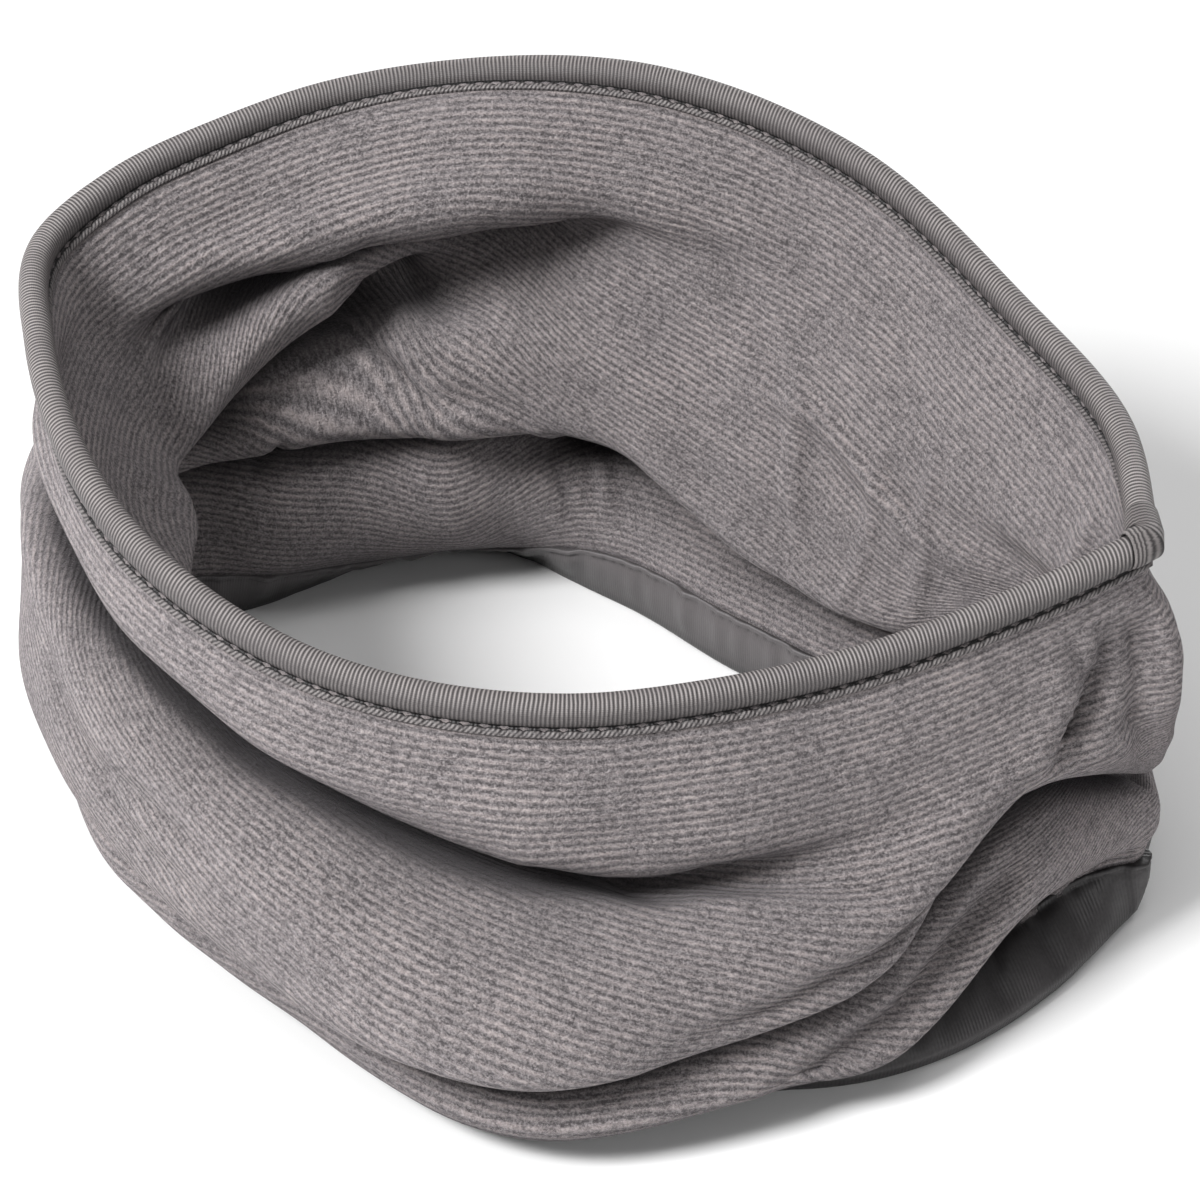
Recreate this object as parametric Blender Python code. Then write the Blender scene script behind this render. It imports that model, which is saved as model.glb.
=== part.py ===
"""Fleece snood: a tube of brushed ribbed fleece with one seam and a satin binding on each edge.

The snood stands on its own hem on a flat surface, opened to a pointed oval and scrunched down,
so its wall hangs in soft folds.  Metres, +Z up, the seam at +X, the high back rim at +Y, and
the origin under the middle of the whole, on the plane that the hem stands on.
"""

import bpy
import bmesh
import numpy as np

# ---------------------------------------------------------------- driving dimensions, millimetres
MM = 0.001
FLEECE = 2.0            # thickness of the brushed fleece
BINDING_ROLL = 5.4      # diameter of the padded roll of the satin binding
RIM_BINDING = 7.5       # finished depth of the top binding, from the middle of its roll to its lip
HEM_BINDING = 10.0      # finished depth of the flat hem binding
SATIN = 1.0             # thickness of the satin, folded double
GAP = 0.3               # clearance between two pieces that touch at a seam
LAP_PLACES = (-0.3, 0.0, 0.5, 1.0)  # where the lapped end's loops lie, in mesh columns of about 9 mm
FOLD_RADIUS = 2.2       # least radius of a fold, at the middle of the fleece
HEM_CLEARANCE = 3.0     # least length of fleece between the hem binding and the mesh row above it
STANDING = 1.7          # binding that would lie lower than this is pressed flat on the surface

COLUMNS = 59            # mesh columns round the tube
STEPS = 1               # mesh rows from one section point to the next
ROLL_FACETS = 7         # points across the binding's roll

FLEECE_COLOUR = (0.24, 0.215, 0.22)
SATIN_COLOUR = (0.15, 0.14, 0.145)

# ---------------------------------------------------------------- the form of the wall
# One row for each upright section of the wall, in order round the tube from the seam over the
# back to the left end and home along the front.  x and y place the rim in plan, and the section
# faces outward at that many degrees from +X.  Each pair after them is a point that the section
# passes through on its way down: how far it lies outside the rim (negative is inside), and its
# height.
SECTIONS = (
    # name, x, y, faces, then (out, height) from the rim down to the foot
    ("seam", 99, 8, 356, (0, 88), (1, 80), (6, 72), (9, 65), (10, 58), (10, 51), (9, 44),
     (7, 38), (2, 35), (8, 30), (9, 24), (7, 16), (6, 2.4)),
    ("back right", 87, 33, 39, (0, 92), (-2, 84), (-5, 77), (-7, 70), (-9, 63), (-7, 56), (-8, 48),
     (-10, 41), (-4, 37), (3, 32), (6, 25), (8, 16), (12, 2.4)),
    ("back far", 61, 55, 57, (0, 97), (-3, 89), (-7, 81), (-10, 73), (-14, 64), (-17, 55),
     (-22, 45), (-26, 33), (-9, 40), (-5, 31), (-16, 26), (-21, 17), (-20, 2.4)),
    ("back", 22, 75, 75, (0, 108), (-4, 98), (-8, 89), (-13, 79), (-18, 69), (-23, 58),
     (-30, 47), (-34, 35), (-17, 43), (-10, 35), (-21, 28), (-30, 18), (-31, 2.4)),
    ("back left", -22, 78, 97, (0, 114.5), (-8, 104), (-14, 94), (-11, 85), (-14, 76), (-18, 68),
     (-26, 58), (-27, 46), (-9, 51), (-6, 41), (-18, 32), (-23, 18), (-21, 2.4)),
    ("far left", -62, 65, 118, (0, 113), (-13, 105), (-22, 93), (-5, 89), (-9, 83), (-10, 75), (-24, 63),
     (-27, 47), (-11, 52), (-24, 38), (-26, 24), (-19, 11), (-3, 2.4)),
    ("flap top", -80, 53, 128, (0, 111), (-11, 102), (-20, 91), (-4, 87), (-20, 81), (-5, 73), (-20, 61),
     (-24, 47), (-8, 49), (-22, 36), (-24, 21), (-18, 10), (-8, 2.4)),
    ("left back", -94, 38, 138, (0, 108.5), (-10, 98), (-17, 88), (-3, 84), (-20, 72), (-2, 68), (-16, 60),
     (-20, 46), (-6, 47), (-20, 33), (-21, 19), (-16, 10), (-11, 2.4)),
    ("left corner", -107, 20, 158, (0, 105), (-8, 96), (-13, 87), (-8, 78), (-21, 60), (-5, 64), (-4, 57),
     (-13, 45), (-3, 42), (-8, 30), (-11, 19), (-10, 10), (-9, 2.4)),
    ("left end", -113, 2, 182, (0, 101), (-5, 91), (-8, 82), (-13, 70), (-20, 52), (-4, 60), (4, 54),
     (-6, 43), (3, 36), (3, 26), (-1, 17), (-3, 10), (-8, 2.4)),
    ("left front", -101, -23, 213, (0, 97), (-1, 90), (1, 82), (-8, 69), (-21, 48), (3, 63), (7, 52),
     (6, 40), (3, 30), (1, 23), (6, 14), (3, 6), (-10, 2.4)),
    ("front left", -69, -53, 240, (0, 86), (3, 79), (4, 72), (-1, 66), (-14, 53), (7, 59), (15, 50),
     (17, 38), (11, 30), (13, 21), (8, 12), (4, 5), (-9, 2.4)),
    ("front", -26, -65, 266, (0, 78), (5, 70), (8, 63), (4, 57), (-8, 48), (11, 50), (23, 40),
     (24, 25), (6, 27), (19, 15), (17, 9), (11, 5), (1, 2.4)),
    ("front right", 18, -57, 287, (0, 76), (5, 67), (9, 57), (9, 48), (2, 41), (15, 40), (31, 33),
     (35, 21), (8, 26), (33, 14), (36, 9), (26, 7), (20, 2.4)),
    ("front roll", 38, -45, 304, (0, 76), (5, 67), (9, 58), (11, 50), (8, 43), (18, 41), (29, 34),
     (31, 24), (7, 30), (31, 18), (33, 11), (24, 12), (22, 2.4)),
    ("right front", 56, -30, 311, (0, 76), (4, 68), (8, 60), (11, 51), (13, 45), (20, 41), (26, 35),
     (26, 27), (5, 34), (28, 19), (31, 10), (19, 14), (27, 2.4)),
    ("by the seam", 84, -5, 318, (0, 82), (2, 75), (4, 68), (6, 62), (8, 57), (10, 52), (9, 46),
     (4, 42), (-6, 42), (9, 34), (13, 23), (1, 21), (18, 2.4)),
)

LEVELS = len(SECTIONS[0]) - 4  # points down each section
MIDDLE = (-3.88, -7.94)  # middle of the finished plan in the frame of the table above


# ---------------------------------------------------------------- curves
def smooth_curve(knots, points, where):
    """Points at `where` on a smooth curve that passes through `points` at `knots`."""
    slopes = np.gradient(points, knots, axis=0)
    place = np.clip(np.searchsorted(knots, where, side="right") - 1, 0, len(knots) - 2)
    step = knots[place + 1] - knots[place]
    t = (where - knots[place]) / step
    shape = (-1,) + (1,) * (points.ndim - 1)
    t = t.reshape(shape)
    step = step.reshape(shape)
    return ((2 * t**3 - 3 * t**2 + 1) * points[place] + (t**3 - 2 * t**2 + t) * step * slopes[place]
            + (3 * t**2 - 2 * t**3) * points[place + 1] + (t**3 - t**2) * step * slopes[place + 1])


def station_points():
    """The points that each section passes through, a row of points for each section."""
    plan = np.array([row[1:3] for row in SECTIONS]) - MIDDLE
    faces = np.radians([row[3] for row in SECTIONS])
    falls = np.array([row[4:] for row in SECTIONS], float)
    outward = np.stack([np.cos(faces), np.sin(faces)], axis=1)
    stations = np.zeros((len(plan), LEVELS, 3))
    stations[:, :, :2] = plan[:, None] + outward[:, None] * falls[:, :, :1]
    stations[:, :, 2] = falls[:, :, 1]
    return stations


def level_lines(columns):
    """The section points carried smoothly round the tube, a row of points for each column."""
    stations = station_points()
    stations = np.concatenate([stations, stations[:1]])
    rim = np.linalg.norm(np.diff(stations[:, 0], axis=0), axis=1)
    knots = np.concatenate([[0.0], np.cumsum(rim)])
    around = np.linspace(0, knots[-1], columns + 1)[:-1]
    return smooth_curve(knots, stations, around)


def round_turns(lines):
    """Each section with every inner point drawn out into two, so a sharp fold gets a round tip."""
    steps = np.diff(lines, axis=1)
    lengths = np.linalg.norm(steps, axis=2, keepdims=True)
    ways = steps / lengths
    before = ways[:, :-1]
    after = ways[:, 1:]
    sharpness = (1 - np.sum(before * after, axis=2, keepdims=True)) / 2
    across = before + after
    across /= np.linalg.norm(across, axis=2, keepdims=True)
    shortest = np.minimum(lengths[:, :-1], lengths[:, 1:])
    reach = np.maximum(FOLD_RADIUS * sharpness, shortest / 5)
    drawn = np.repeat(lines, 2, axis=1)[:, 1:-1]
    drawn[:, 1:-1:2] -= reach * across
    drawn[:, 2:-1:2] += reach * across
    return drawn


def wall_grid(columns, steps):
    """The middle of the wall as a grid of points: rows from the rim down, columns round from the seam.

    The rows keep to the section points, with `steps` rows to each, but near the rim they shift so
    that rows fall at the middle and at the lip of the binding, and so they do near the foot where
    the last section point would lie under the hem binding.
    """
    lines = round_turns(level_lines(columns))
    count = lines.shape[1]
    last = count - 2
    inner = np.linspace(1, last, (last - 1) * steps + 1)
    from_rim = np.clip(1 - (inner - 1) / 4, 0, 1)
    from_foot = np.clip(1 - (last - inner) / 4, 0, 1)
    grid = np.zeros((len(inner) + 5, columns, 3))
    for column in range(columns):
        points = lines[column]
        drops = np.linalg.norm(np.diff(points, axis=0), axis=1)
        knots = np.concatenate([[0.0], np.cumsum(drops)])
        fall = knots[-1]
        travelled = np.interp(inner, np.arange(count), knots)
        above_hem = fall - HEM_BINDING
        travelled += from_rim * (RIM_BINDING - knots[1])
        travelled += from_foot * min(0, above_hem - HEM_CLEARANCE - knots[last])
        where = np.concatenate([[0, RIM_BINDING / 2], travelled, [above_hem, fall - HEM_BINDING / 2, fall]])
        grid[:, column] = smooth_curve(knots, points, where)
    return grid


def wall_normals(grid):
    """Unit vectors out of the wall, away from the hollow."""
    round_wise = np.roll(grid, -1, axis=1) - np.roll(grid, 1, axis=1)
    down_wise = np.gradient(grid, axis=0)
    normals = np.cross(down_wise, round_wise)
    return normals / np.linalg.norm(normals, axis=2, keepdims=True)


# ---------------------------------------------------------------- solids
def past_edge(grid, normals, row, inner_row):
    """Unit vectors that lead on past one edge of the wall, square to its normals."""
    past = grid[row] - grid[inner_row]
    past -= np.sum(past * normals[row], axis=1, keepdims=True) * normals[row]
    return past / np.linalg.norm(past, axis=1, keepdims=True)


def add_solid(name, loops, colour, roughness, closed=True):
    """A solid skinned over (row, points) loops; a closed one goes all round, an open one has end faces.

    Every four-cornered patch is split along the diagonal that starts at its upper row, so that the
    two faces of a thin, twisted wall stay the same distance apart.
    """
    sides = len(loops)
    columns = len(loops[0][1])
    faces = []
    for side in range(sides):
        following = (side + 1) % sides
        downward = loops[side][0] <= loops[following][0]
        for column in range(columns if closed else columns - 1):
            ahead = (column + 1) % columns
            here = side * columns
            there = following * columns
            corners = (here + column, there + column, there + ahead, here + ahead)
            if not downward:
                corners = corners[1:] + corners[:1]
            faces.append((corners[0], corners[1], corners[2]))
            faces.append((corners[0], corners[2], corners[3]))
    if not closed:
        faces.append([side * columns for side in range(sides)])
        faces.append([side * columns + columns - 1 for side in range(sides)])
    mesh = bpy.data.meshes.new(name)
    points = np.concatenate([points for row, points in loops]) * MM
    mesh.from_pydata(points.tolist(), [], faces)
    work = bmesh.new()
    work.from_mesh(mesh)
    bmesh.ops.recalc_face_normals(work, faces=work.faces)
    bmesh.ops.triangulate(work, faces=[face for face in work.faces if len(face.verts) > 4])
    work.to_mesh(mesh)
    work.free()
    mesh.shade_smooth()
    finish = bpy.data.materials.new(name)
    finish.use_nodes = True
    shader = finish.node_tree.nodes["Principled BSDF"]
    shader.inputs["Base Color"].default_value = (*colour, 1.0)
    shader.inputs["Roughness"].default_value = roughness
    shader.inputs["Metallic"].default_value = 0.0
    mesh.materials.append(finish)
    solid = bpy.data.objects.new(name, mesh)
    bpy.context.collection.objects.link(solid)
    return solid


def fleece_body(grid, normals):
    """The fleece tube: the wall thickened to both sides and closed along its two edges."""
    count = len(grid)
    outside = [(row, grid[row] + normals[row] * FLEECE / 2) for row in range(count)]
    inside = [(row, grid[row] - normals[row] * FLEECE / 2) for row in reversed(range(count))]
    add_solid("fleece_body", outside + inside, FLEECE_COLOUR, 0.95)


def top_skin(grid, normals):
    """The visible skin of the top binding, from its outer lip over the roll to its inner lip."""
    past = past_edge(grid, normals, 0, 1)
    lip = FLEECE / 2 + GAP + SATIN
    skin = [(row, grid[row] + normals[row] * lip) for row in (2, 1)]
    for angle in np.radians(np.linspace(-20, 200, ROLL_FACETS)):
        spoke = np.cos(angle) * normals[0] + np.sin(angle) * past
        skin.append((0, grid[0] + BINDING_ROLL / 2 * spoke))
    return skin + [(row, grid[row] - normals[row] * lip) for row in (1, 2)]


def top_binding(grid, normals):
    """Satin wrapped over the rim: a padded roll on top and a lip down each face of the fleece."""
    end = past_edge(grid, normals, 0, 1) * GAP
    slot = FLEECE / 2 + GAP
    channel = [(2, grid[2] - normals[2] * slot), (1, grid[1] - normals[1] * slot),
               (0, grid[0] - normals[0] * slot + end), (0, grid[0] + normals[0] * slot + end),
               (1, grid[1] + normals[1] * slot), (2, grid[2] + normals[2] * slot)]
    add_solid("top_binding", top_skin(grid, normals) + channel, SATIN_COLOUR, 0.5)


def top_binding_end(grid, normals):
    """The end of the top binding, turned over the seam corner and sewn down on the roll."""
    skin = top_skin(grid, normals)[2:-2]
    loops = []
    for reach in (BINDING_ROLL / 2 + GAP + SATIN, BINDING_ROLL / 2 + GAP):
        layer = []
        for row, roll in skin:
            spoke = grid[0] + (roll - grid[0]) * reach / (BINDING_ROLL / 2)
            points = []
            for place in LAP_PLACES:
                before = int(np.floor(place))
                share = place - before
                points.append((1 - share) * spoke[before] + share * spoke[before + 1])
            layer.append((row, np.array(points)))
        loops += layer if not loops else layer[::-1]
    add_solid("top_binding_end", loops, SATIN_COLOUR, 0.5, closed=False)


def hem_binding(grid, normals):
    """Flat satin band folded over the foot; its underside is level where the snood stands."""
    past = past_edge(grid, normals, -1, -2)
    slot = FLEECE / 2 + GAP
    lip = slot + SATIN
    end = past * (GAP + SATIN)
    skin = [(-3, grid[-3] + normals[-3] * lip), (-2, grid[-2] + normals[-2] * lip),
            (-1, grid[-1] + normals[-1] * lip + end), (-1, grid[-1] - normals[-1] * lip + end),
            (-2, grid[-2] - normals[-2] * lip), (-3, grid[-3] - normals[-3] * lip)]
    for row, loop in skin:
        loop[:, 2] = np.where(loop[:, 2] < STANDING, 0.0, loop[:, 2])
    end = past * GAP
    channel = [(-3, grid[-3] - normals[-3] * slot), (-2, grid[-2] - normals[-2] * slot),
               (-1, grid[-1] - normals[-1] * slot + end), (-1.5, grid[-1] + normals[-1] * slot + end),
               (-2, grid[-2] + normals[-2] * slot), (-3, grid[-3] + normals[-3] * slot)]
    add_solid("hem_binding", skin + channel, SATIN_COLOUR, 0.5)


for item in list(bpy.data.objects):
    bpy.data.objects.remove(item)
wall = wall_grid(COLUMNS, STEPS)
outward = wall_normals(wall)
fleece_body(wall, outward)
top_binding(wall, outward)
top_binding_end(wall, outward)
hem_binding(wall, outward)
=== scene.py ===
import math
import bpy
import numpy as np
from mathutils import Matrix, Vector


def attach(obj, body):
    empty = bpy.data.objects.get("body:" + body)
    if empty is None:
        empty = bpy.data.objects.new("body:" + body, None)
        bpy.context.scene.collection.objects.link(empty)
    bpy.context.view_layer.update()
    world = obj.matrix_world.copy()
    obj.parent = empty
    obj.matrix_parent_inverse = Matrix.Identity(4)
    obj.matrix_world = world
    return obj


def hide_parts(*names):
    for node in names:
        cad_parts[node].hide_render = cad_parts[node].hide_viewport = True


# Fleece snood: a tube of brushed ribbed fleece with one seam and a satin binding on each edge.
# It stands on its own hem, opened to a pointed oval and scrunched down into soft folds.
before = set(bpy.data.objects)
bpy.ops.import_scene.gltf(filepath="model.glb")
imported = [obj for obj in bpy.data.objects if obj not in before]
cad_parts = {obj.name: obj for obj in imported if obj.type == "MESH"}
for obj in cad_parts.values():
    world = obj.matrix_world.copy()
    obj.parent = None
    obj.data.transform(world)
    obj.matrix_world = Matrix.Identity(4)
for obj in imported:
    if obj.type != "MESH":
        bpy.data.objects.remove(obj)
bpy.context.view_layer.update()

# ---------------------------------------------------------------- sizes, millimetres
MM = 0.001
ROUND = 575.0           # cloth round the tube
CLOTH_FALL = 172.0      # cloth from the rim down to the foot
FLEECE = 2.0            # thickness of the brushed fleece
FLEECE_RIB = 1.52       # from one rib of the fleece to the next
SEAM_GROOVE = 0.9       # depth and width of the groove along the upright seam
RIM_BINDING = 7.5       # finished depth of the top binding on the solid
HEM_BINDING = 10.0      # finished depth of the hem binding on the solid
FOLD_RADIUS = 2.2       # least radius of a fold, at the middle of the fleece
HEM_CLEARANCE = 3.0     # least length of fleece between the hem binding and the mesh row above it

ROLL_RADIUS = 2.75      # the top binding's padded roll
ROLL_DROP = 0.35        # how far its middle lies below the rim
ROLL_TURN = 62          # degrees that the roll turns past level on each side
SATIN_RIB = 0.78        # from one cross rib of the satin to the next
STITCH = 3.4            # length of one stitch of the top binding
HEM_BAND = 12.0         # finished depth of the hem's satin band as sewn
HEM_FOOT = (1.8, 1.3)   # half the width and the depth of the band's turned foot
HEM_STITCH = 3.0        # length of one stitch of the hem binding
STITCH_LINE = 1.3       # how far that row of stitches lies below the band's upper edge
LEAST_COVER = 1.45      # how far out a pucker of the band always stays, clear of the fleece
STANDING = 2.6          # satin lower than this is eased down, so that its low places rest

FLEECE_COLUMNS = 430    # mesh columns of the fleece round the tube
FLEECE_STEPS = 5        # mesh rows from one section point to the next
BINDING_COLUMNS = 1120  # mesh columns of a binding round the tube
ROLL_POINTS = 26        # mesh points across the roll

# ---------------------------------------------------------------- the form of the wall
# One row for each upright section of the wall, in order round the tube from the seam over the
# back to the left end and home along the front.  x and y place the rim in plan, and the section
# faces outward at that many degrees from +X.  Each pair after them is a point that the section
# passes through on its way down: how far it lies outside the rim (negative is inside), and its
# height.
SECTIONS = (
    # name, x, y, faces, then (out, height) from the rim down to the foot
    ("seam", 99, 8, 356, (0, 88), (1, 80), (6, 72), (9, 65), (10, 58), (10, 51), (9, 44),
     (7, 38), (2, 35), (8, 30), (9, 24), (7, 16), (6, 2.4)),
    ("back right", 87, 33, 39, (0, 92), (-2, 84), (-5, 77), (-7, 70), (-9, 63), (-7, 56), (-8, 48),
     (-10, 41), (-4, 37), (3, 32), (6, 25), (8, 16), (12, 2.4)),
    ("back far", 61, 55, 57, (0, 97), (-3, 89), (-7, 81), (-10, 73), (-14, 64), (-17, 55),
     (-22, 45), (-26, 33), (-9, 40), (-5, 31), (-16, 26), (-21, 17), (-20, 2.4)),
    ("back", 22, 75, 75, (0, 108), (-4, 98), (-8, 89), (-13, 79), (-18, 69), (-23, 58),
     (-30, 47), (-34, 35), (-17, 43), (-10, 35), (-21, 28), (-30, 18), (-31, 2.4)),
    ("back left", -22, 78, 97, (0, 114.5), (-8, 104), (-14, 94), (-11, 85), (-14, 76), (-18, 68),
     (-26, 58), (-27, 46), (-9, 51), (-6, 41), (-18, 32), (-23, 18), (-21, 2.4)),
    ("far left", -62, 65, 118, (0, 113), (-13, 105), (-22, 93), (-5, 89), (-9, 83), (-10, 75),
     (-24, 63), (-27, 47), (-11, 52), (-24, 38), (-26, 24), (-19, 11), (-3, 2.4)),
    ("flap top", -80, 53, 128, (0, 111), (-11, 102), (-20, 91), (-4, 87), (-20, 81), (-5, 73),
     (-20, 61), (-24, 47), (-8, 49), (-22, 36), (-24, 21), (-18, 10), (-8, 2.4)),
    ("left back", -94, 38, 138, (0, 108.5), (-10, 98), (-17, 88), (-3, 84), (-20, 72), (-2, 68),
     (-16, 60), (-20, 46), (-6, 47), (-20, 33), (-21, 19), (-16, 10), (-11, 2.4)),
    ("left corner", -107, 20, 158, (0, 105), (-8, 96), (-13, 87), (-8, 78), (-21, 60), (-5, 64),
     (-4, 57), (-13, 45), (-3, 42), (-8, 30), (-11, 19), (-10, 10), (-9, 2.4)),
    ("left end", -113, 2, 182, (0, 101), (-5, 91), (-8, 82), (-13, 70), (-20, 52), (-4, 60), (4, 54),
     (-6, 43), (3, 36), (3, 26), (-1, 17), (-3, 10), (-8, 2.4)),
    ("left front", -101, -23, 213, (0, 97), (-1, 90), (1, 82), (-8, 69), (-21, 48), (3, 63), (7, 52),
     (6, 40), (3, 30), (1, 23), (6, 14), (3, 6), (-10, 2.4)),
    ("front left", -69, -53, 240, (0, 86), (3, 79), (4, 72), (-1, 66), (-14, 53), (7, 59), (15, 50),
     (17, 38), (11, 30), (13, 21), (8, 12), (4, 5), (-9, 2.4)),
    ("front", -26, -65, 266, (0, 78), (5, 70), (8, 63), (4, 57), (-8, 48), (11, 50), (23, 40),
     (24, 25), (6, 27), (19, 15), (17, 9), (11, 5), (1, 2.4)),
    ("front right", 18, -57, 287, (0, 76), (5, 67), (9, 57), (9, 48), (2, 41), (15, 40), (31, 33),
     (35, 21), (8, 26), (33, 14), (36, 9), (26, 7), (20, 2.4)),
    ("front roll", 38, -45, 304, (0, 76), (5, 67), (9, 58), (11, 50), (8, 43), (18, 41), (29, 34),
     (31, 24), (7, 30), (31, 18), (33, 11), (24, 12), (22, 2.4)),
    ("right front", 56, -30, 311, (0, 76), (4, 68), (8, 60), (11, 51), (13, 45), (20, 41), (26, 35),
     (26, 27), (5, 34), (28, 19), (31, 10), (19, 14), (27, 2.4)),
    ("by the seam", 84, -5, 318, (0, 82), (2, 75), (4, 68), (6, 62), (8, 57), (10, 52), (9, 46),
     (4, 42), (-6, 42), (9, 34), (13, 23), (1, 21), (18, 2.4)),
)

LEVELS = len(SECTIONS[0]) - 4  # points down each section
MIDDLE = (-3.88, -7.94)  # middle of the finished plan in the frame of the table above


# ---------------------------------------------------------------- curves
def smooth_curve(knots, points, where):
    """Points at `where` on a smooth curve that passes through `points` at `knots`."""
    slopes = np.gradient(points, knots, axis=0)
    place = np.clip(np.searchsorted(knots, where, side="right") - 1, 0, len(knots) - 2)
    step = knots[place + 1] - knots[place]
    t = (where - knots[place]) / step
    shape = (-1,) + (1,) * (points.ndim - 1)
    t = t.reshape(shape)
    step = step.reshape(shape)
    return ((2 * t**3 - 3 * t**2 + 1) * points[place] + (t**3 - 2 * t**2 + t) * step * slopes[place]
            + (3 * t**2 - 2 * t**3) * points[place + 1] + (t**3 - t**2) * step * slopes[place + 1])


def station_points():
    """The points that each section passes through, a row of points for each section."""
    plan = np.array([row[1:3] for row in SECTIONS]) - MIDDLE
    faces = np.radians([row[3] for row in SECTIONS])
    falls = np.array([row[4:] for row in SECTIONS], float)
    outward = np.stack([np.cos(faces), np.sin(faces)], axis=1)
    stations = np.zeros((len(plan), LEVELS, 3))
    stations[:, :, :2] = plan[:, None] + outward[:, None] * falls[:, :, :1]
    stations[:, :, 2] = falls[:, :, 1]
    return stations


def level_lines(columns):
    """The section points carried smoothly round the tube, a row of points for each column."""
    stations = station_points()
    stations = np.concatenate([stations, stations[:1]])
    rim = np.linalg.norm(np.diff(stations[:, 0], axis=0), axis=1)
    knots = np.concatenate([[0.0], np.cumsum(rim)])
    around = np.linspace(0, knots[-1], columns + 1)[:-1]
    return smooth_curve(knots, stations, around)


def round_turns(lines):
    """Each section with every inner point drawn out into two, so a sharp fold gets a round tip."""
    steps = np.diff(lines, axis=1)
    lengths = np.linalg.norm(steps, axis=2, keepdims=True)
    ways = steps / lengths
    before = ways[:, :-1]
    after = ways[:, 1:]
    sharpness = (1 - np.sum(before * after, axis=2, keepdims=True)) / 2
    across = before + after
    across /= np.linalg.norm(across, axis=2, keepdims=True)
    shortest = np.minimum(lengths[:, :-1], lengths[:, 1:])
    reach = np.maximum(FOLD_RADIUS * sharpness, shortest / 5)
    drawn = np.repeat(lines, 2, axis=1)[:, 1:-1]
    drawn[:, 1:-1:2] -= reach * across
    drawn[:, 2:-1:2] += reach * across
    return drawn


def wall_grid(columns, steps):
    """The middle of the wall as a grid of points: rows from the rim down, columns round from the seam.

    The rows keep to the section points, with `steps` rows to each, but near the rim they shift so
    that rows fall at the middle and at the lip of the binding, and so they do near the foot where
    the last section point would lie under the hem binding.
    """
    lines = round_turns(level_lines(columns))
    count = lines.shape[1]
    last = count - 2
    inner = np.linspace(1, last, (last - 1) * steps + 1)
    from_rim = np.clip(1 - (inner - 1) / 4, 0, 1)
    from_foot = np.clip(1 - (last - inner) / 4, 0, 1)
    grid = np.zeros((len(inner) + 5, columns, 3))
    for column in range(columns):
        points = lines[column]
        drops = np.linalg.norm(np.diff(points, axis=0), axis=1)
        knots = np.concatenate([[0.0], np.cumsum(drops)])
        fall = knots[-1]
        travelled = np.interp(inner, np.arange(count), knots)
        above_hem = fall - HEM_BINDING
        travelled += from_rim * (RIM_BINDING - knots[1])
        travelled += from_foot * min(0, above_hem - HEM_CLEARANCE - knots[last])
        where = np.concatenate([[0, RIM_BINDING / 2], travelled,
                                [above_hem, fall - HEM_BINDING / 2, fall]])
        grid[:, column] = smooth_curve(knots, points, where)
    return grid


def wall_normals(grid):
    """Unit vectors out of the wall, away from the hollow."""
    round_wise = np.roll(grid, -1, axis=1) - np.roll(grid, 1, axis=1)
    down_wise = np.gradient(grid, axis=0)
    normals = np.cross(down_wise, round_wise)
    return normals / np.linalg.norm(normals, axis=2, keepdims=True)


# ---------------------------------------------------------------- cloth wall in fine detail
def strip(columns, falls, from_foot=False):
    """The wall along one of its edges: a row of points for each distance from that edge."""
    lines = round_turns(level_lines(columns))
    grid = np.zeros((len(falls), columns, 3))
    falls = np.asarray(falls, float)
    for column in range(columns):
        points = lines[column]
        drops = np.linalg.norm(np.diff(points, axis=0), axis=1)
        knots = np.concatenate([[0.0], np.cumsum(drops)])
        where = knots[-1] - falls if from_foot else falls
        grid[:, column] = smooth_curve(knots, points, where)
    return grid


def fallen(grid):
    """How much cloth lies above each point of the wall, measured down from the rim."""
    drops = np.linalg.norm(np.diff(grid, axis=0), axis=2)
    return np.concatenate([np.zeros((1, grid.shape[1])), np.cumsum(drops, axis=0)])


def cloth_fall(lengths):
    """Where each point lies on the flat cloth: true near both edges, eased in the hidden tucks."""
    total = lengths[-1:]
    share = lengths / total
    ease = np.clip((share - 0.35) / 0.4, 0, 1)
    ease = ease * ease * (3 - 2 * ease)
    return lengths + ease * (CLOTH_FALL - total)


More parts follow.
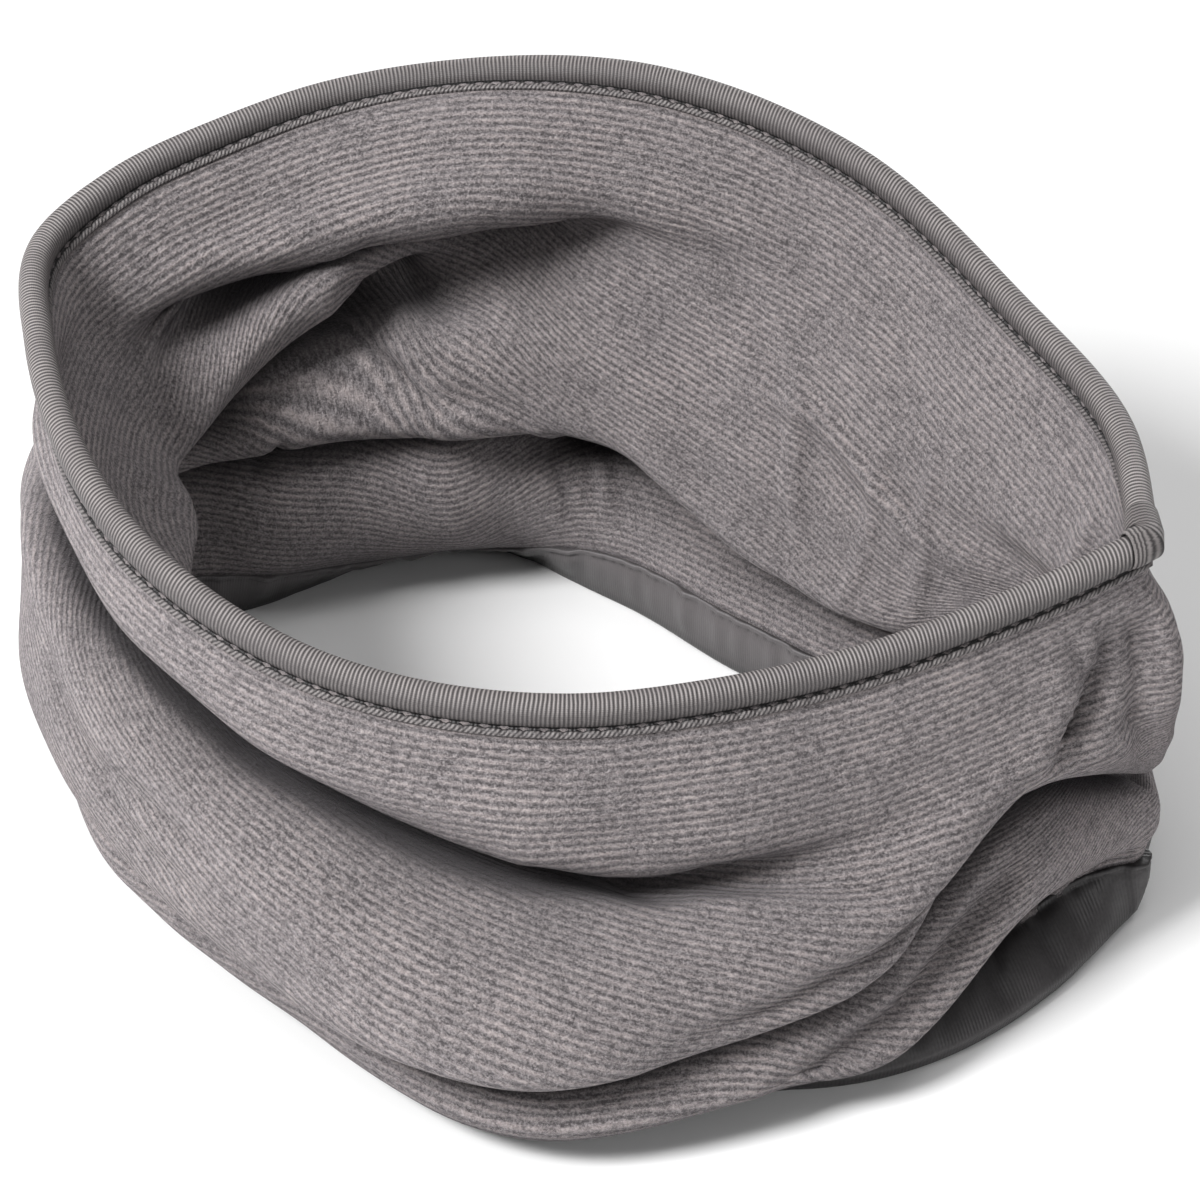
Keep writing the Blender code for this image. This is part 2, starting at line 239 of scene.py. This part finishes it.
# Soft creases of the fleece.  Each passes through places on the cloth: how far round from the
# seam, and how far down from the rim.  It lifts the cloth by its height, outwards where that is
# positive, and dies away to each side over its own two widths: first on the left hand as one goes
# along it, seen from outside, then on the right.
CREASES = (
    # name, height, width on the left, width on the right, places
    ("belly edge, upper", -4.4, 5.0, 1.7, (566, 9), (564, 15), (562, 21), (558, 27), (555, 31),
     (553, 36)),
    ("belly edge, swell", 1.2, 2.5, 6.0, (562, 11), (559, 17), (556, 23), (552, 29), (547, 34)),
    ("corner, short pleat", -2.2, 1.6, 2.4, (558, 9), (559, 13), (559, 18), (561, 23)),
    ("corner, middle pleat", -2.4, 2.0, 2.6, (565, 19), (564, 25), (565, 31), (567, 37)),
    ("corner, far pleat", -4.0, 4.5, 2.0, (571, 10), (569, 18), (568, 27), (568, 36), (571, 45)),
    ("corner, far swell", 1.6, 2.5, 3.0, (566, 14), (565, 20), (564, 27), (565, 34)),
    ("left band, swell", 3.5, 9.0, 9.0, (316, 44), (334, 44), (352, 42), (376, 38)),
    ("beyond the seam, swell", 1.6, 5.0, 4.0, (5, 14), (7, 24), (8, 36), (7, 46)),
    ("belly edge, lower", -3.0, 2.0, 4.0, (473, 81), (485, 70), (493, 65), (504, 57), (512, 54),
     (520, 51), (530, 47), (540, 42), (550, 37)),
    ("valley floor", -2.8, 5.0, 5.0, (378, 33), (400, 34), (430, 34), (450, 34), (466, 36)),
    ("valley dimple", -2.6, 5.5, 5.0, (455, 32), (466, 38), (475, 45), (484, 47)),
    ("valley tail", -1.8, 4.5, 3.5, (480, 47), (487, 42), (501, 41), (514, 42), (526, 40)),
    ("fold above the dimple", 1.4, 4.0, 4.0, (452, 24), (462, 28), (472, 33), (486, 33)),
    ("roll edge", -3.8, 2.0, 3.4, (490, 146), (505, 131), (516, 121), (523, 112), (531, 102),
     (539, 93), (548, 83)),
    ("left band, lower crease", -1.6, 2.0, 3.0, (352, 86), (360, 85), (370, 83), (381, 82),
     (394, 79), (411, 79)),
    ("left band, short crease", -1.2, 2.0, 2.0, (381, 83), (388, 86), (396, 88), (408, 87)),
    ("left band, soft ridge", 0.9, 3.0, 3.0, (356, 70), (366, 68), (384, 66), (400, 62)),
    ("inside, fold over the lens", 3.0, 3.0, 2.0, (238, 122), (230, 119), (215, 104), (198, 94),
     (176, 84)),
    ("inside, lens swell", -1.6, 4.0, 4.0, (236, 128), (222, 114), (206, 101), (186, 93)),
    ("inside, small flap edge", 2.2, 1.8, 2.8, (249, 128), (250, 146), (252, 166)),
    ("inside, pit below the ridge", 3.0, 6.0, 6.0, (232, 76), (220, 79), (206, 76), (190, 70)),
    ("inside, wrinkle 1", -1.1, 2.0, 2.5, (64, 48), (62, 56), (58, 66)),
    ("inside, wrinkle 2", -1.0, 2.2, 1.8, (70, 32), (68, 38), (66, 52)),
    ("inside, wrinkle 3", -1.2, 2.4, 2.4, (110, 42), (107, 54), (104, 61), (94, 71)),
    ("inside, wrinkle 4", -0.9, 2.0, 2.0, (84, 40), (80, 52), (76, 66), (78, 76)),
    ("inside, low wrinkle 1", -1.2, 2.0, 2.4, (168, 124), (165, 130), (160, 140)),
    ("inside, low wrinkle 2", 1.0, 2.6, 2.0, (182, 132), (174, 140), (166, 146)),
    ("inside, under the rim", 0.9, 4.0, 4.0, (150, 22), (135, 30), (118, 44), (112, 58)),
    ("back, long crease", -2.2, 3.0, 2.4, (40, 44), (70, 50), (100, 47), (130, 52)),
    ("back, short crease", -1.6, 2.4, 2.0, (142, 88), (160, 94), (184, 90)),
    ("back, low crease", -1.8, 2.6, 2.6, (60, 100), (84, 92), (112, 97), (130, 93)),
    ("back, upright pleat", -1.4, 2.0, 2.0, (24, 12), (26, 26), (23, 44)),
    ("far left crease", -2.0, 3.0, 2.0, (222, 30), (250, 38), (278, 34), (300, 40)),
    ("far left short crease", -1.5, 2.0, 2.6, (262, 80), (284, 74), (306, 78)),
)


def crease_heights(around, lengths):
    """How far the creases lift each point of the fleece."""
    lift = np.zeros_like(lengths)
    for name, height, left, right, *places in CREASES:
        places = np.array(places, float)
        steps = np.diff(places, axis=0)
        spans = np.linalg.norm(steps, axis=1)
        passed = np.concatenate([[0.0], np.cumsum(spans)])
        nearest = np.full(lengths.shape, np.inf)
        width = np.ones_like(lengths)
        along = np.zeros_like(lengths)
        for start, step, span, before in zip(places, steps, spans, passed):
            du = (around - start[0] + ROUND / 2) % ROUND - ROUND / 2
            dv = lengths - start[1]
            share = np.clip((du * step[0] + dv * step[1]) / span ** 2, 0, 1)
            distance = np.hypot(du - share * step[0], dv - share * step[1])
            closer = distance < nearest
            nearest = np.where(closer, distance, nearest)
            side = np.where(du * step[1] - dv * step[0] > 0, left, right)
            width = np.where(closer, side, width)
            along = np.where(closer, (before + share * span) / passed[-1], along)
        fade = 1 - np.abs(2 * along - 1) ** 3
        lift += height * fade * np.exp(-(nearest / width) ** 2)
    return lift


# Slight waves that soft cloth always has: length round the tube, lean, start and height.
WAVES = ((41, 0.022, 0.3, 0.35), (67, -0.031, 1.7, 0.25), (93, 0.047, 4.1, 0.22),
         (29, 0.063, 2.2, 0.2))


def unevenness(around, lengths):
    """How far the slight waves lift each point of the fleece."""
    lift = np.zeros_like(lengths)
    for pitch, slope, start, height in WAVES:
        turns = round(ROUND / pitch)
        phase = 2 * math.pi * turns * around / ROUND + slope * lengths * 2 + start
        lift += height * np.sin(phase) * np.sin(lengths * 0.07 + start)
    return lift


def mesh_piece(name, loops, marks, node):
    """A piece skinned over closed loops of points; marks give each point's place on flat cloth."""
    sides, columns = loops.shape[:2]
    side = np.arange(sides)
    column = np.arange(columns)
    corner_sides = np.stack([side, np.roll(side, -1), np.roll(side, -1), side])
    corner_columns = np.stack([column, column, np.roll(column, -1), np.roll(column, -1)])
    faces = (corner_sides[:, :, None] * columns + corner_columns[:, None, :]).reshape(4, -1).T
    mesh = bpy.data.meshes.new(name)
    mesh.vertices.add(sides * columns)
    mesh.vertices.foreach_set("co", (loops * MM).astype(np.float32).ravel())
    mesh.loops.add(faces.size)
    mesh.loops.foreach_set("vertex_index", faces.astype(np.int32).ravel())
    mesh.polygons.add(len(faces))
    mesh.polygons.foreach_set("loop_start", np.arange(0, faces.size, 4, dtype=np.int32))
    mesh.update(calc_edges=True)
    mesh.validate()
    mesh.shade_smooth()
    flat = np.zeros((4, sides, columns, 2))
    for corner in range(4):
        ahead = corner in (2, 3)
        following = corner in (1, 2)
        rows = np.roll(marks, -1, axis=0) if following else marks
        flat[corner, :, :, 0] = (column + (1 if ahead else 0))[None, :] * ROUND / columns
        flat[corner, :, :, 1] = np.roll(rows, -1, axis=1) if ahead else rows
    cloth = mesh.uv_layers.new(name="cloth")
    by_face = (flat * MM).reshape(4, -1, 2).transpose(1, 0, 2)
    cloth.data.foreach_set("uv", by_face.astype(np.float32).ravel())
    made = bpy.data.objects.new(name, mesh)
    bpy.context.collection.objects.link(made)
    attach(made, "root")
    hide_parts(node)
    return made


def make_fleece():
    """The fleece: the wall with its creases, thickened to both sides."""
    grid = wall_grid(FLEECE_COLUMNS, FLEECE_STEPS)
    normals = wall_normals(grid)
    lengths = fallen(grid)
    around = np.broadcast_to(np.arange(FLEECE_COLUMNS) * ROUND / FLEECE_COLUMNS, lengths.shape)
    edges = np.clip(lengths / 9 - 0.8, 0, 1) * np.clip((lengths[-1:] - lengths) / 12 - 1, 0, 1)
    lift = (crease_heights(around, lengths) + unevenness(around, lengths)) * edges
    from_seam = np.minimum(around, ROUND - around)
    lift -= SEAM_GROOVE * np.exp(-(from_seam / SEAM_GROOVE) ** 2)
    grid = grid + normals * lift[..., None]
    normals = wall_normals(grid)
    outside = grid + normals * FLEECE / 2
    inside = grid - normals * FLEECE / 2
    loops = np.concatenate([outside, inside[::-1]])
    fall = cloth_fall(lengths)
    marks = np.concatenate([fall, fall[::-1]])
    return mesh_piece("snood_fleece", loops, marks, "fleece_body")


def edge_ways(base):
    """The normals of a strip, and the unit vectors that lead on past its edge."""
    normals = wall_normals(base)
    past = base[0] - base[1]
    past -= np.sum(past * normals[0], axis=1, keepdims=True) * normals[0]
    past /= np.linalg.norm(past, axis=1, keepdims=True)
    return normals, past


def offset_loop(base, out, normals, falls, distance):
    """Points at a distance from the strip's edge and a distance out from the wall, all round."""
    place = np.broadcast_to(np.interp(distance, falls, np.arange(len(falls))), base.shape[1])
    low = np.minimum(place.astype(int), len(falls) - 2)
    share = (place - low)[:, None]
    column = np.arange(base.shape[1])
    centre = base[low, column] * (1 - share) + base[low + 1, column] * share
    normal = normals[low, column] * (1 - share) + normals[low + 1, column] * share
    normal /= np.linalg.norm(normal, axis=1, keepdims=True)
    return centre + normal * np.asarray(out)[..., None]


def stitch_holes(around, stitch, sharpness):
    """A value for each place round the tube: 1 where the thread pulls in, 0 between."""
    beat = 0.5 + 0.5 * np.cos(2 * math.pi * around / (ROUND / round(ROUND / stitch)))
    return beat ** sharpness


# Section of the top binding's knitted lip: distance down from the rim and out from the wall's
# middle.  The thread pulls in the part above LIP_TOP.
LIP_START = 3.65
LIP_TOP = 4.2
LIP = ((3.1, 1.15), (3.4, 1.0), (LIP_START, 1.45), (3.9, 1.65), (4.6, 1.65), (4.9, 1.45), (5.0, 1.0))
# On its flat cloth the roll is marked with the distance from its top, and the lip with its
# distance from the rim and this much more.  The groove between the two is painted near black as shade.
LIP_MARK = 10.0
GROOVE_START = 7.6


def make_top_binding():
    """Satin binding of the rim: a ribbed padded roll, a stitched groove and a thin knitted lip."""
    falls = np.array([0.0, 2.0, 4.0, 6.0, 8.0])
    base = strip(BINDING_COLUMNS, falls)
    normals, past = edge_ways(base)
    around = np.arange(BINDING_COLUMNS) * ROUND / BINDING_COLUMNS
    notch = stitch_holes(around, STITCH, 4)
    outer = []
    inner = []
    for down, out in LIP:
        pulled = notch if down < LIP_TOP else 0.0 * notch
        place = down + 0.25 * pulled
        lift = out - 0.45 * pulled
        outer.append((offset_loop(base, lift, normals, falls, place), down + LIP_MARK))
        inner.append((offset_loop(base, -lift, normals, falls, place), -down - LIP_MARK))
    roll = []
    for angle in np.radians(np.linspace(-ROLL_TURN, 180 + ROLL_TURN, ROLL_POINTS)):
        down = ROLL_DROP - (ROLL_RADIUS + 0.2) * math.sin(angle)
        out = ROLL_RADIUS * math.cos(angle)
        if down > 0:
            loop = offset_loop(base, np.full(BINDING_COLUMNS, out), normals, falls, down)
        else:
            loop = base[0] + normals[0] * out - past * down
        roll.append((loop, -ROLL_RADIUS * (angle - math.pi / 2)))
    section = outer[::-1] + roll + inner
    loops = np.array([loop for loop, mark in section])
    marks = np.array([np.full(BINDING_COLUMNS, mark) for loop, mark in section])
    return mesh_piece("snood_top_binding", loops, marks, "top_binding")


# One side of the hem band from its upper edge down: distance up from the foot, and distance out.
BAND_SIDE = ((HEM_BAND, 1.1), (HEM_BAND, 1.6), (HEM_BAND - 0.8, 1.75),
             (HEM_BAND - STITCH_LINE, 1.35), (HEM_BAND - 1.9, 1.8), (8.0, 2.0), (6.0, 2.1),
             (4.0, 2.1), (2.0, 2.0), (0.6, 1.9))
# Puckers of the band: how many round the tube, start and height.
PUCKERS = ((57, 0.4, 0.34), (43, 2.1, 0.3), (91, 1.0, 0.2), (29, 3.3, 0.25))


def make_hem_binding():
    """Flat satin band folded over the foot, stitched along its upper edge and puckered."""
    falls = np.array([0.0, 2.0, 4.0, 6.0, 8.0, 10.0, 12.0, 14.0])
    base = strip(BINDING_COLUMNS, falls, from_foot=True)
    inward, past = edge_ways(base)
    normals = -inward
    around = np.arange(BINDING_COLUMNS) * ROUND / BINDING_COLUMNS
    notch = stitch_holes(around, HEM_STITCH, 3)
    pucker = np.zeros(BINDING_COLUMNS)
    for turns, start, height in PUCKERS:
        pucker += height * np.sin(2 * math.pi * turns * around / ROUND + start)
    from_seam = np.minimum(around, ROUND - around)
    join = 0.5 * np.exp(-((from_seam - 1.5) / 0.8) ** 2)
    outer = []
    inner = []
    for up, out in BAND_SIDE:
        pulled = 0.25 * notch * math.exp(-((up - HEM_BAND + STITCH_LINE) / 0.5) ** 2)
        least = min(out, LEAST_COVER)
        swell = pucker * min(1, up / 6)
        lift = np.maximum(out + swell, least) + join - pulled
        outer.append((offset_loop(base, lift, normals, falls, up), up))
        lift = np.maximum(out + 0.6 * swell, least) + join - pulled
        inner.append((offset_loop(base, -lift, normals, falls, up), -up - 2.0))
    foot = []
    for angle in np.radians(np.linspace(20, 160, 7)):
        loop = (base[0] + normals[0] * HEM_FOOT[0] * math.cos(angle)
                + past * HEM_FOOT[1] * math.sin(angle))
        foot.append((loop, -1.0))
    section = outer + foot + inner[::-1]
    loops = np.array([loop for loop, mark in section])
    marks = np.array([np.full(BINDING_COLUMNS, mark) for loop, mark in section])
    height = loops[..., 2]
    loops[..., 2] = np.where(height < STANDING, np.maximum(2 * height - STANDING, 0.0), height)
    return mesh_piece("snood_hem_binding", loops, marks, "hem_binding")


# The lapped end of the top binding, as a sleeve: distance along the rim towards the front from
# the seam, and radius.  It goes out over the roll and turns back in under its own end.
SLEEVE = ((-7.0, 2.8), (-6.5, 3.05), (-5.0, 3.2), (-3.0, 3.35), (-1.5, 3.45), (0.0, 3.55),
          (1.5, 3.6), (2.6, 3.6), (3.3, 3.5), (3.7, 3.3), (3.8, 3.05), (3.6, 2.85), (3.0, 2.8),
          (0.0, 2.8), (-4.0, 2.78))
SLEEVE_COLUMNS = 1400   # columns of the strip that the sleeve follows
SLEEVE_POINTS = 40      # mesh points round the sleeve


def make_binding_end():
    """The end of the top binding, drawn over the seam corner like a short sleeve."""
    base = strip(SLEEVE_COLUMNS, (0.0, 2.0, 4.0))
    normals, past = edge_ways(base)
    loops = []
    marks = []
    for along, radius in SLEEVE:
        place = -along * SLEEVE_COLUMNS / ROUND
        before = math.floor(place)
        share = place - before
        centre = base[0, before] * (1 - share) + base[0, before + 1] * share
        normal = normals[0, before] * (1 - share) + normals[0, before + 1] * share
        up = past[before] * (1 - share) + past[before + 1] * share
        turn = 2 * math.pi * np.arange(SLEEVE_POINTS)[:, None] / SLEEVE_POINTS
        loops.append(centre + normal * radius * np.cos(turn) + up * radius * np.sin(turn))
        marks.append(np.full(SLEEVE_POINTS, along))
    return mesh_piece("snood_binding_end", np.array(loops), np.array(marks), "top_binding_end")


# ---------------------------------------------------------------- materials
class Shader:
    """Short names for making a node material."""

    def __init__(self, name):
        self.material = bpy.data.materials.new(name)
        self.material.use_nodes = True
        self.tree = self.material.node_tree
        self.surface = self.tree.nodes["Principled BSDF"]
        self.flat = self.new("ShaderNodeUVMap", uv_map="cloth").outputs[0]
        parts = self.new("ShaderNodeSeparateXYZ")
        self.link(self.flat, parts.inputs[0])
        self.u = parts.outputs[0]
        self.v = parts.outputs[1]
        self.place = self.new("ShaderNodeTexCoord").outputs["Object"]

    def new(self, kind, **settings):
        node = self.tree.nodes.new(kind)
        for key, value in settings.items():
            setattr(node, key, value)
        return node

    def link(self, source, target):
        self.tree.links.new(source, target)

    def put(self, socket, value):
        if isinstance(value, bpy.types.NodeSocket):
            self.link(value, socket)
        else:
            socket.default_value = value

    def math(self, kind, *values):
        node = self.new("ShaderNodeMath", operation=kind)
        for socket, value in zip(node.inputs, values):
            self.put(socket, value)
        return node.outputs[0]

    def wave(self, coordinate, pitch):
        """A soft wave from 0 to 1 that repeats each `pitch` millimetres."""
        turned = self.math("MULTIPLY", coordinate, 2 * math.pi / (pitch * MM))
        return self.math("MULTIPLY_ADD", self.math("COSINE", turned), 0.5, 0.5)

    def noise(self, vector, scale, detail=2.0, roughness=0.5):
        """A cloudy value around 0.5, with `scale` clouds to the metre."""
        node = self.new("ShaderNodeTexNoise")
        self.put(node.inputs["Vector"], vector)
        node.inputs["Scale"].default_value = scale
        node.inputs["Detail"].default_value = detail
        node.inputs["Roughness"].default_value = roughness
        return node.outputs["Fac"]

    def vector(self, x, y):
        node = self.new("ShaderNodeCombineXYZ")
        self.put(node.inputs["X"], x)
        self.put(node.inputs["Y"], y)
        return node.outputs[0]

    def ramp(self, value, low, high, to_low=0.0, to_high=1.0):
        """The value carried from one range to another, and held at its ends."""
        node = self.new("ShaderNodeMapRange")
        for socket, number in zip(node.inputs, (value, low, high, to_low, to_high)):
            self.put(socket, number)
        return node.outputs[0]

    def mix(self, share, first, second):
        """A share of the second colour in the first."""
        node = self.new("ShaderNodeMix", data_type="RGBA")
        self.put(node.inputs["Factor"], share)
        self.put(node.inputs[6], first)
        self.put(node.inputs[7], second)
        return node.outputs[2]

    def depth(self, reach):
        """How open the place is, as painted shade: the colour darkens deep in a fold."""
        node = self.new("ShaderNodeAmbientOcclusion", samples=4)
        node.inputs["Distance"].default_value = reach
        return self.ramp(node.outputs["AO"], 0.33, 0.86)

    def finish(self, colour, roughness, specular, height, distance, strength):
        """Joins the colour and the relief to the surface, and gives back the material."""
        relief = self.new("ShaderNodeBump")
        relief.inputs["Strength"].default_value = strength
        relief.inputs["Distance"].default_value = distance
        self.put(relief.inputs["Height"], height)
        self.link(relief.outputs[0], self.surface.inputs["Normal"])
        self.put(self.surface.inputs["Base Color"], colour)
        self.surface.inputs["Roughness"].default_value = roughness
        self.surface.inputs["Specular IOR Level"].default_value = specular
        return self.material


# Colours of each cloth: the dark and the light of its yarn, and the painted shade that darkens it deep
# in a fold.
GREY_YARN = ((0.076, 0.068, 0.070, 1), (0.450, 0.415, 0.421, 1))
PINK_YARN = ((0.088, 0.074, 0.072, 1), (0.490, 0.422, 0.410, 1))
FLEECE_PAINTED_SHADE = (0.016, 0.014, 0.0145, 1)
SATIN_YARN = ((0.036, 0.032, 0.033, 1), (0.350, 0.322, 0.316, 1))
SATIN_DULL = (0.10, 0.09, 0.095, 1)
SATIN_PAINTED_SHADE = (0.012, 0.011, 0.0115, 1)
# Painted shade for the groove under the roll.
PAINTED_GROOVE_SHADE = (0.008, 0.007, 0.0075, 1)
# The hem band: very dark outside as painted shade, and a lighter tone inside as painted light.
BAND_YARN_IN_PAINTED_SHADE = ((0.020, 0.018, 0.019, 1), (0.070, 0.064, 0.066, 1))
BAND_INSIDE_PAINTED_LIGHT = (0.165, 0.152, 0.155, 1)
BAND_PAINTED_SHADE = (0.016, 0.015, 0.0155, 1)


def fleece_material():
    """Brushed fleece: broken ribs of pinkish yarn on grey, heathered, and worn here and there."""
    s = Shader("brushed_fleece")
    drift = s.math("MULTIPLY_ADD", s.noise(s.flat, 60.0), 0.9 * MM, s.v)
    drift = s.math("MULTIPLY_ADD", s.noise(s.flat, 700.0, 3.0, 0.7), 0.9 * MM, drift)
    rib = s.wave(drift, FLEECE_RIB)
    knit = s.vector(s.math("MULTIPLY", s.u, 900.0), s.math("MULTIPLY", s.v, 2200.0))
    stitch = s.noise(knit, 1.0, 3.0, 0.7)
    fibre = s.noise(s.place, 2300.0, 3.0, 0.75)
    felt = s.noise(s.place, 620.0, 4.0, 0.7)
    worn = s.ramp(s.noise(s.place, 70.0, 3.0, 0.6), 0.34, 0.66, 0.45, 0.95)
    rib_shown = s.math("MULTIPLY", rib, worn)
    tone = s.math("MULTIPLY_ADD", rib_shown, 0.22, s.math("MULTIPLY", stitch, 0.66))
    tone = s.math("MULTIPLY_ADD", fibre, 0.80, tone)
    tone = s.math("MULTIPLY_ADD", felt, 0.42, tone)
    tone = s.ramp(tone, 0.86, 1.26)
    pinkness = s.math("MULTIPLY", rib_shown, s.ramp(felt, 0.35, 0.65, 0.4, 1.0))
    colour = s.mix(pinkness, s.mix(tone, *GREY_YARN), s.mix(tone, *PINK_YARN))
    # Painted shade: the fleece colour darkens deep in folds and near the floor.
    colour = s.mix(s.depth(0.022), FLEECE_PAINTED_SHADE, colour)
    s.surface.inputs["Sheen Weight"].default_value = 0.3
    s.surface.inputs["Sheen Roughness"].default_value = 0.55
    s.surface.inputs["Sheen Tint"].default_value = (0.85, 0.8, 0.84, 1)
    height = s.math("MULTIPLY_ADD", rib_shown, 0.55, s.math("MULTIPLY", stitch, 0.75))
    height = s.math("MULTIPLY_ADD", fibre, 0.7, height)
    height = s.math("MULTIPLY_ADD", felt, 0.6, height)
    return s.finish(colour, 0.95, 0.12, height, 0.0009, 0.9)


def satin_material(name, sewn):
    """Satin ribbon with cross ribs.

    Where it is sewn down, its ribs fade low on the roll as painted shade, and a groove painted near
    black as shade and a zigzag lip follow.
    """
    s = Shader(name)
    run, across = (s.u, s.v) if sewn else (s.v, s.u)
    rib = s.wave(s.math("MULTIPLY_ADD", s.noise(s.flat, 150.0), 0.6 * MM, run), SATIN_RIB)
    weft = s.wave(across, 0.34)
    fine = s.noise(s.place, 3200.0, 3.0, 0.7)
    reach = s.math("ABSOLUTE", s.v)
    if sewn:
        # Painted shade: the ribs fade, and the satin darkens, low on both sides of the roll.
        rib = s.math("MULTIPLY", rib, s.ramp(reach, 0.0026, 0.0050, 1.0, 0.4))
    tone = s.math("MULTIPLY_ADD", rib, 0.95, s.math("MULTIPLY", weft, 0.10))
    tone = s.math("MULTIPLY_ADD", fine, 0.30, tone)
    tone = s.ramp(tone, 0.20, 1.08)
    if sewn:
        lip = s.math("GREATER_THAN", reach, (LIP_START + LIP_MARK) * MM)
        zigzag = s.wave(s.math("MULTIPLY_ADD", s.v, 0.8, s.u), 0.95)
        tone = s.mix(lip, tone, s.math("MULTIPLY", zigzag, 0.7))
    colour = s.mix(tone, *SATIN_YARN)
    colour = s.mix(s.ramp(s.noise(s.place, 130.0), 0.3, 0.7, 0.0, 0.25), colour, SATIN_DULL)
    if sewn:
        # Painted shade: the groove between the roll and the lip is coloured near black.
        past_roll = s.math("GREATER_THAN", reach, GROOVE_START * MM)
        groove = s.math("MULTIPLY", past_roll, s.math("SUBTRACT", 1.0, lip))
        colour = s.mix(groove, colour, PAINTED_GROOVE_SHADE)
    # Painted shade: the satin colour darkens where it is closed in.
    colour = s.mix(s.depth(0.004), SATIN_PAINTED_SHADE, colour)
    height = s.math("ADD", rib, s.math("MULTIPLY", weft, 0.15))
    return s.finish(colour, 0.48, 0.35, height, 0.00028, 0.8)


def hem_material():
    """Dark satin, painted darker outside as shade and lighter on the side that faces the hollow as
    painted light.
    """
    s = Shader("hem_satin")
    fine = s.noise(s.place, 1500.0, 3.0)
    worn = s.noise(s.place, 90.0, 3.0, 0.6)
    tone = s.math("MULTIPLY_ADD", fine, 0.4, s.math("MULTIPLY", worn, 0.6))
    colour = s.mix(s.ramp(tone, 0.3, 0.7), *BAND_YARN_IN_PAINTED_SHADE)
    # Painted light: the side that faces the hollow gets a lighter tone than the shaded outside.
    inner = s.ramp(s.v, -0.003, -0.0005, 0.7, 0.0)
    colour = s.mix(inner, colour, BAND_INSIDE_PAINTED_LIGHT)
    # Painted shade: the band colour darkens deep in folds and near the floor.
    colour = s.mix(s.depth(0.02), BAND_PAINTED_SHADE, colour)
    return s.finish(colour, 0.42, 0.4, s.wave(s.u, 0.7), 0.0001, 0.4)


fleece = make_fleece()
fleece.data.materials.append(fleece_material())
top = make_top_binding()
top.data.materials.append(satin_material("ribbed_satin", sewn=True))
end = make_binding_end()
end.data.materials.append(satin_material("ribbed_satin_end", sewn=False))
hem = make_hem_binding()
hem.data.materials.append(hem_material())

# ---------------------------------------------------------------- floor, light and camera
FLOOR_HALF = 3.0        # metres from its middle to its edges
FLOOR_DROP = 0.0001     # how far it lies below the hem, in metres

floor_mesh = bpy.data.meshes.new("floor")
corners = [(x * FLOOR_HALF, y * FLOOR_HALF, 0) for x, y in ((-1, -1), (1, -1), (1, 1), (-1, 1))]
floor_mesh.from_pydata(corners, [], [(0, 1, 2, 3)])
floor = bpy.data.objects.new("floor", floor_mesh)
bpy.context.collection.objects.link(floor)
paper = bpy.data.materials.new("pale_floor")
paper.use_nodes = True
paper.node_tree.nodes["Principled BSDF"].inputs["Base Color"].default_value = (0.88, 0.88, 0.88, 1)
paper.node_tree.nodes["Principled BSDF"].inputs["Roughness"].default_value = 0.9
floor_mesh.materials.append(paper)
floor.location.z = -FLOOR_DROP

world = bpy.data.worlds.new("studio")
world.use_nodes = True
world.node_tree.nodes["Background"].inputs["Color"].default_value = (1.0, 1.0, 1.0, 1)
world.node_tree.nodes["Background"].inputs["Strength"].default_value = 0.21
bpy.context.scene.world = world

# Square soft boxes that look at the middle of the snood.
LIGHTS = (
    # name, place in metres, side in metres, power in watts
    ("key", (-0.56, -0.66, 0.98), 0.36, 21.0),
    ("top", (0.0, -0.2, 1.3), 0.6, 4.0),
    ("fill", (0.95, -0.45, 0.6), 0.5, 2.2),
    ("back", (0.1, 1.15, 0.38), 0.6, 5.0),
)
for name, place, side, power in LIGHTS:
    light = bpy.data.lights.new(name, "AREA")
    light.size = side
    light.energy = power
    soft_box = bpy.data.objects.new(name, light)
    soft_box.location = place
    towards = Vector((0, 0, 0.05)) - Vector(place)
    soft_box.rotation_euler = towards.to_track_quat("-Z", "Y").to_euler()
    bpy.context.collection.objects.link(soft_box)

AZIMUTH = math.radians(22)      # of the camera, to the right of the front
ELEVATION = math.radians(40)    # of the camera, above level
DISTANCE = 0.638                # of the camera from the point that it looks at
HALF_VIEW = math.radians(10)    # half the angle that it takes in
LOOK_AT = Vector((0.00388, 0.00794, 0.050))
back = Vector((math.sin(AZIMUTH) * math.cos(ELEVATION), -math.cos(AZIMUTH) * math.cos(ELEVATION),
               math.sin(ELEVATION)))
right = Vector((math.cos(AZIMUTH), math.sin(AZIMUTH), 0))
lens = bpy.data.cameras.new("camera")
lens.sensor_width = 36.0
lens.lens = lens.sensor_width / 2 / math.tan(HALF_VIEW)
lens.clip_start = 0.05
camera = bpy.data.objects.new("camera", lens)
camera.matrix_world = Matrix.Translation(LOOK_AT + back * DISTANCE) @ Matrix(
    (right, back.cross(right), back)).transposed().to_4x4()
bpy.context.collection.objects.link(camera)
bpy.context.scene.camera = camera
bpy.context.scene.view_settings.view_transform = "Standard"
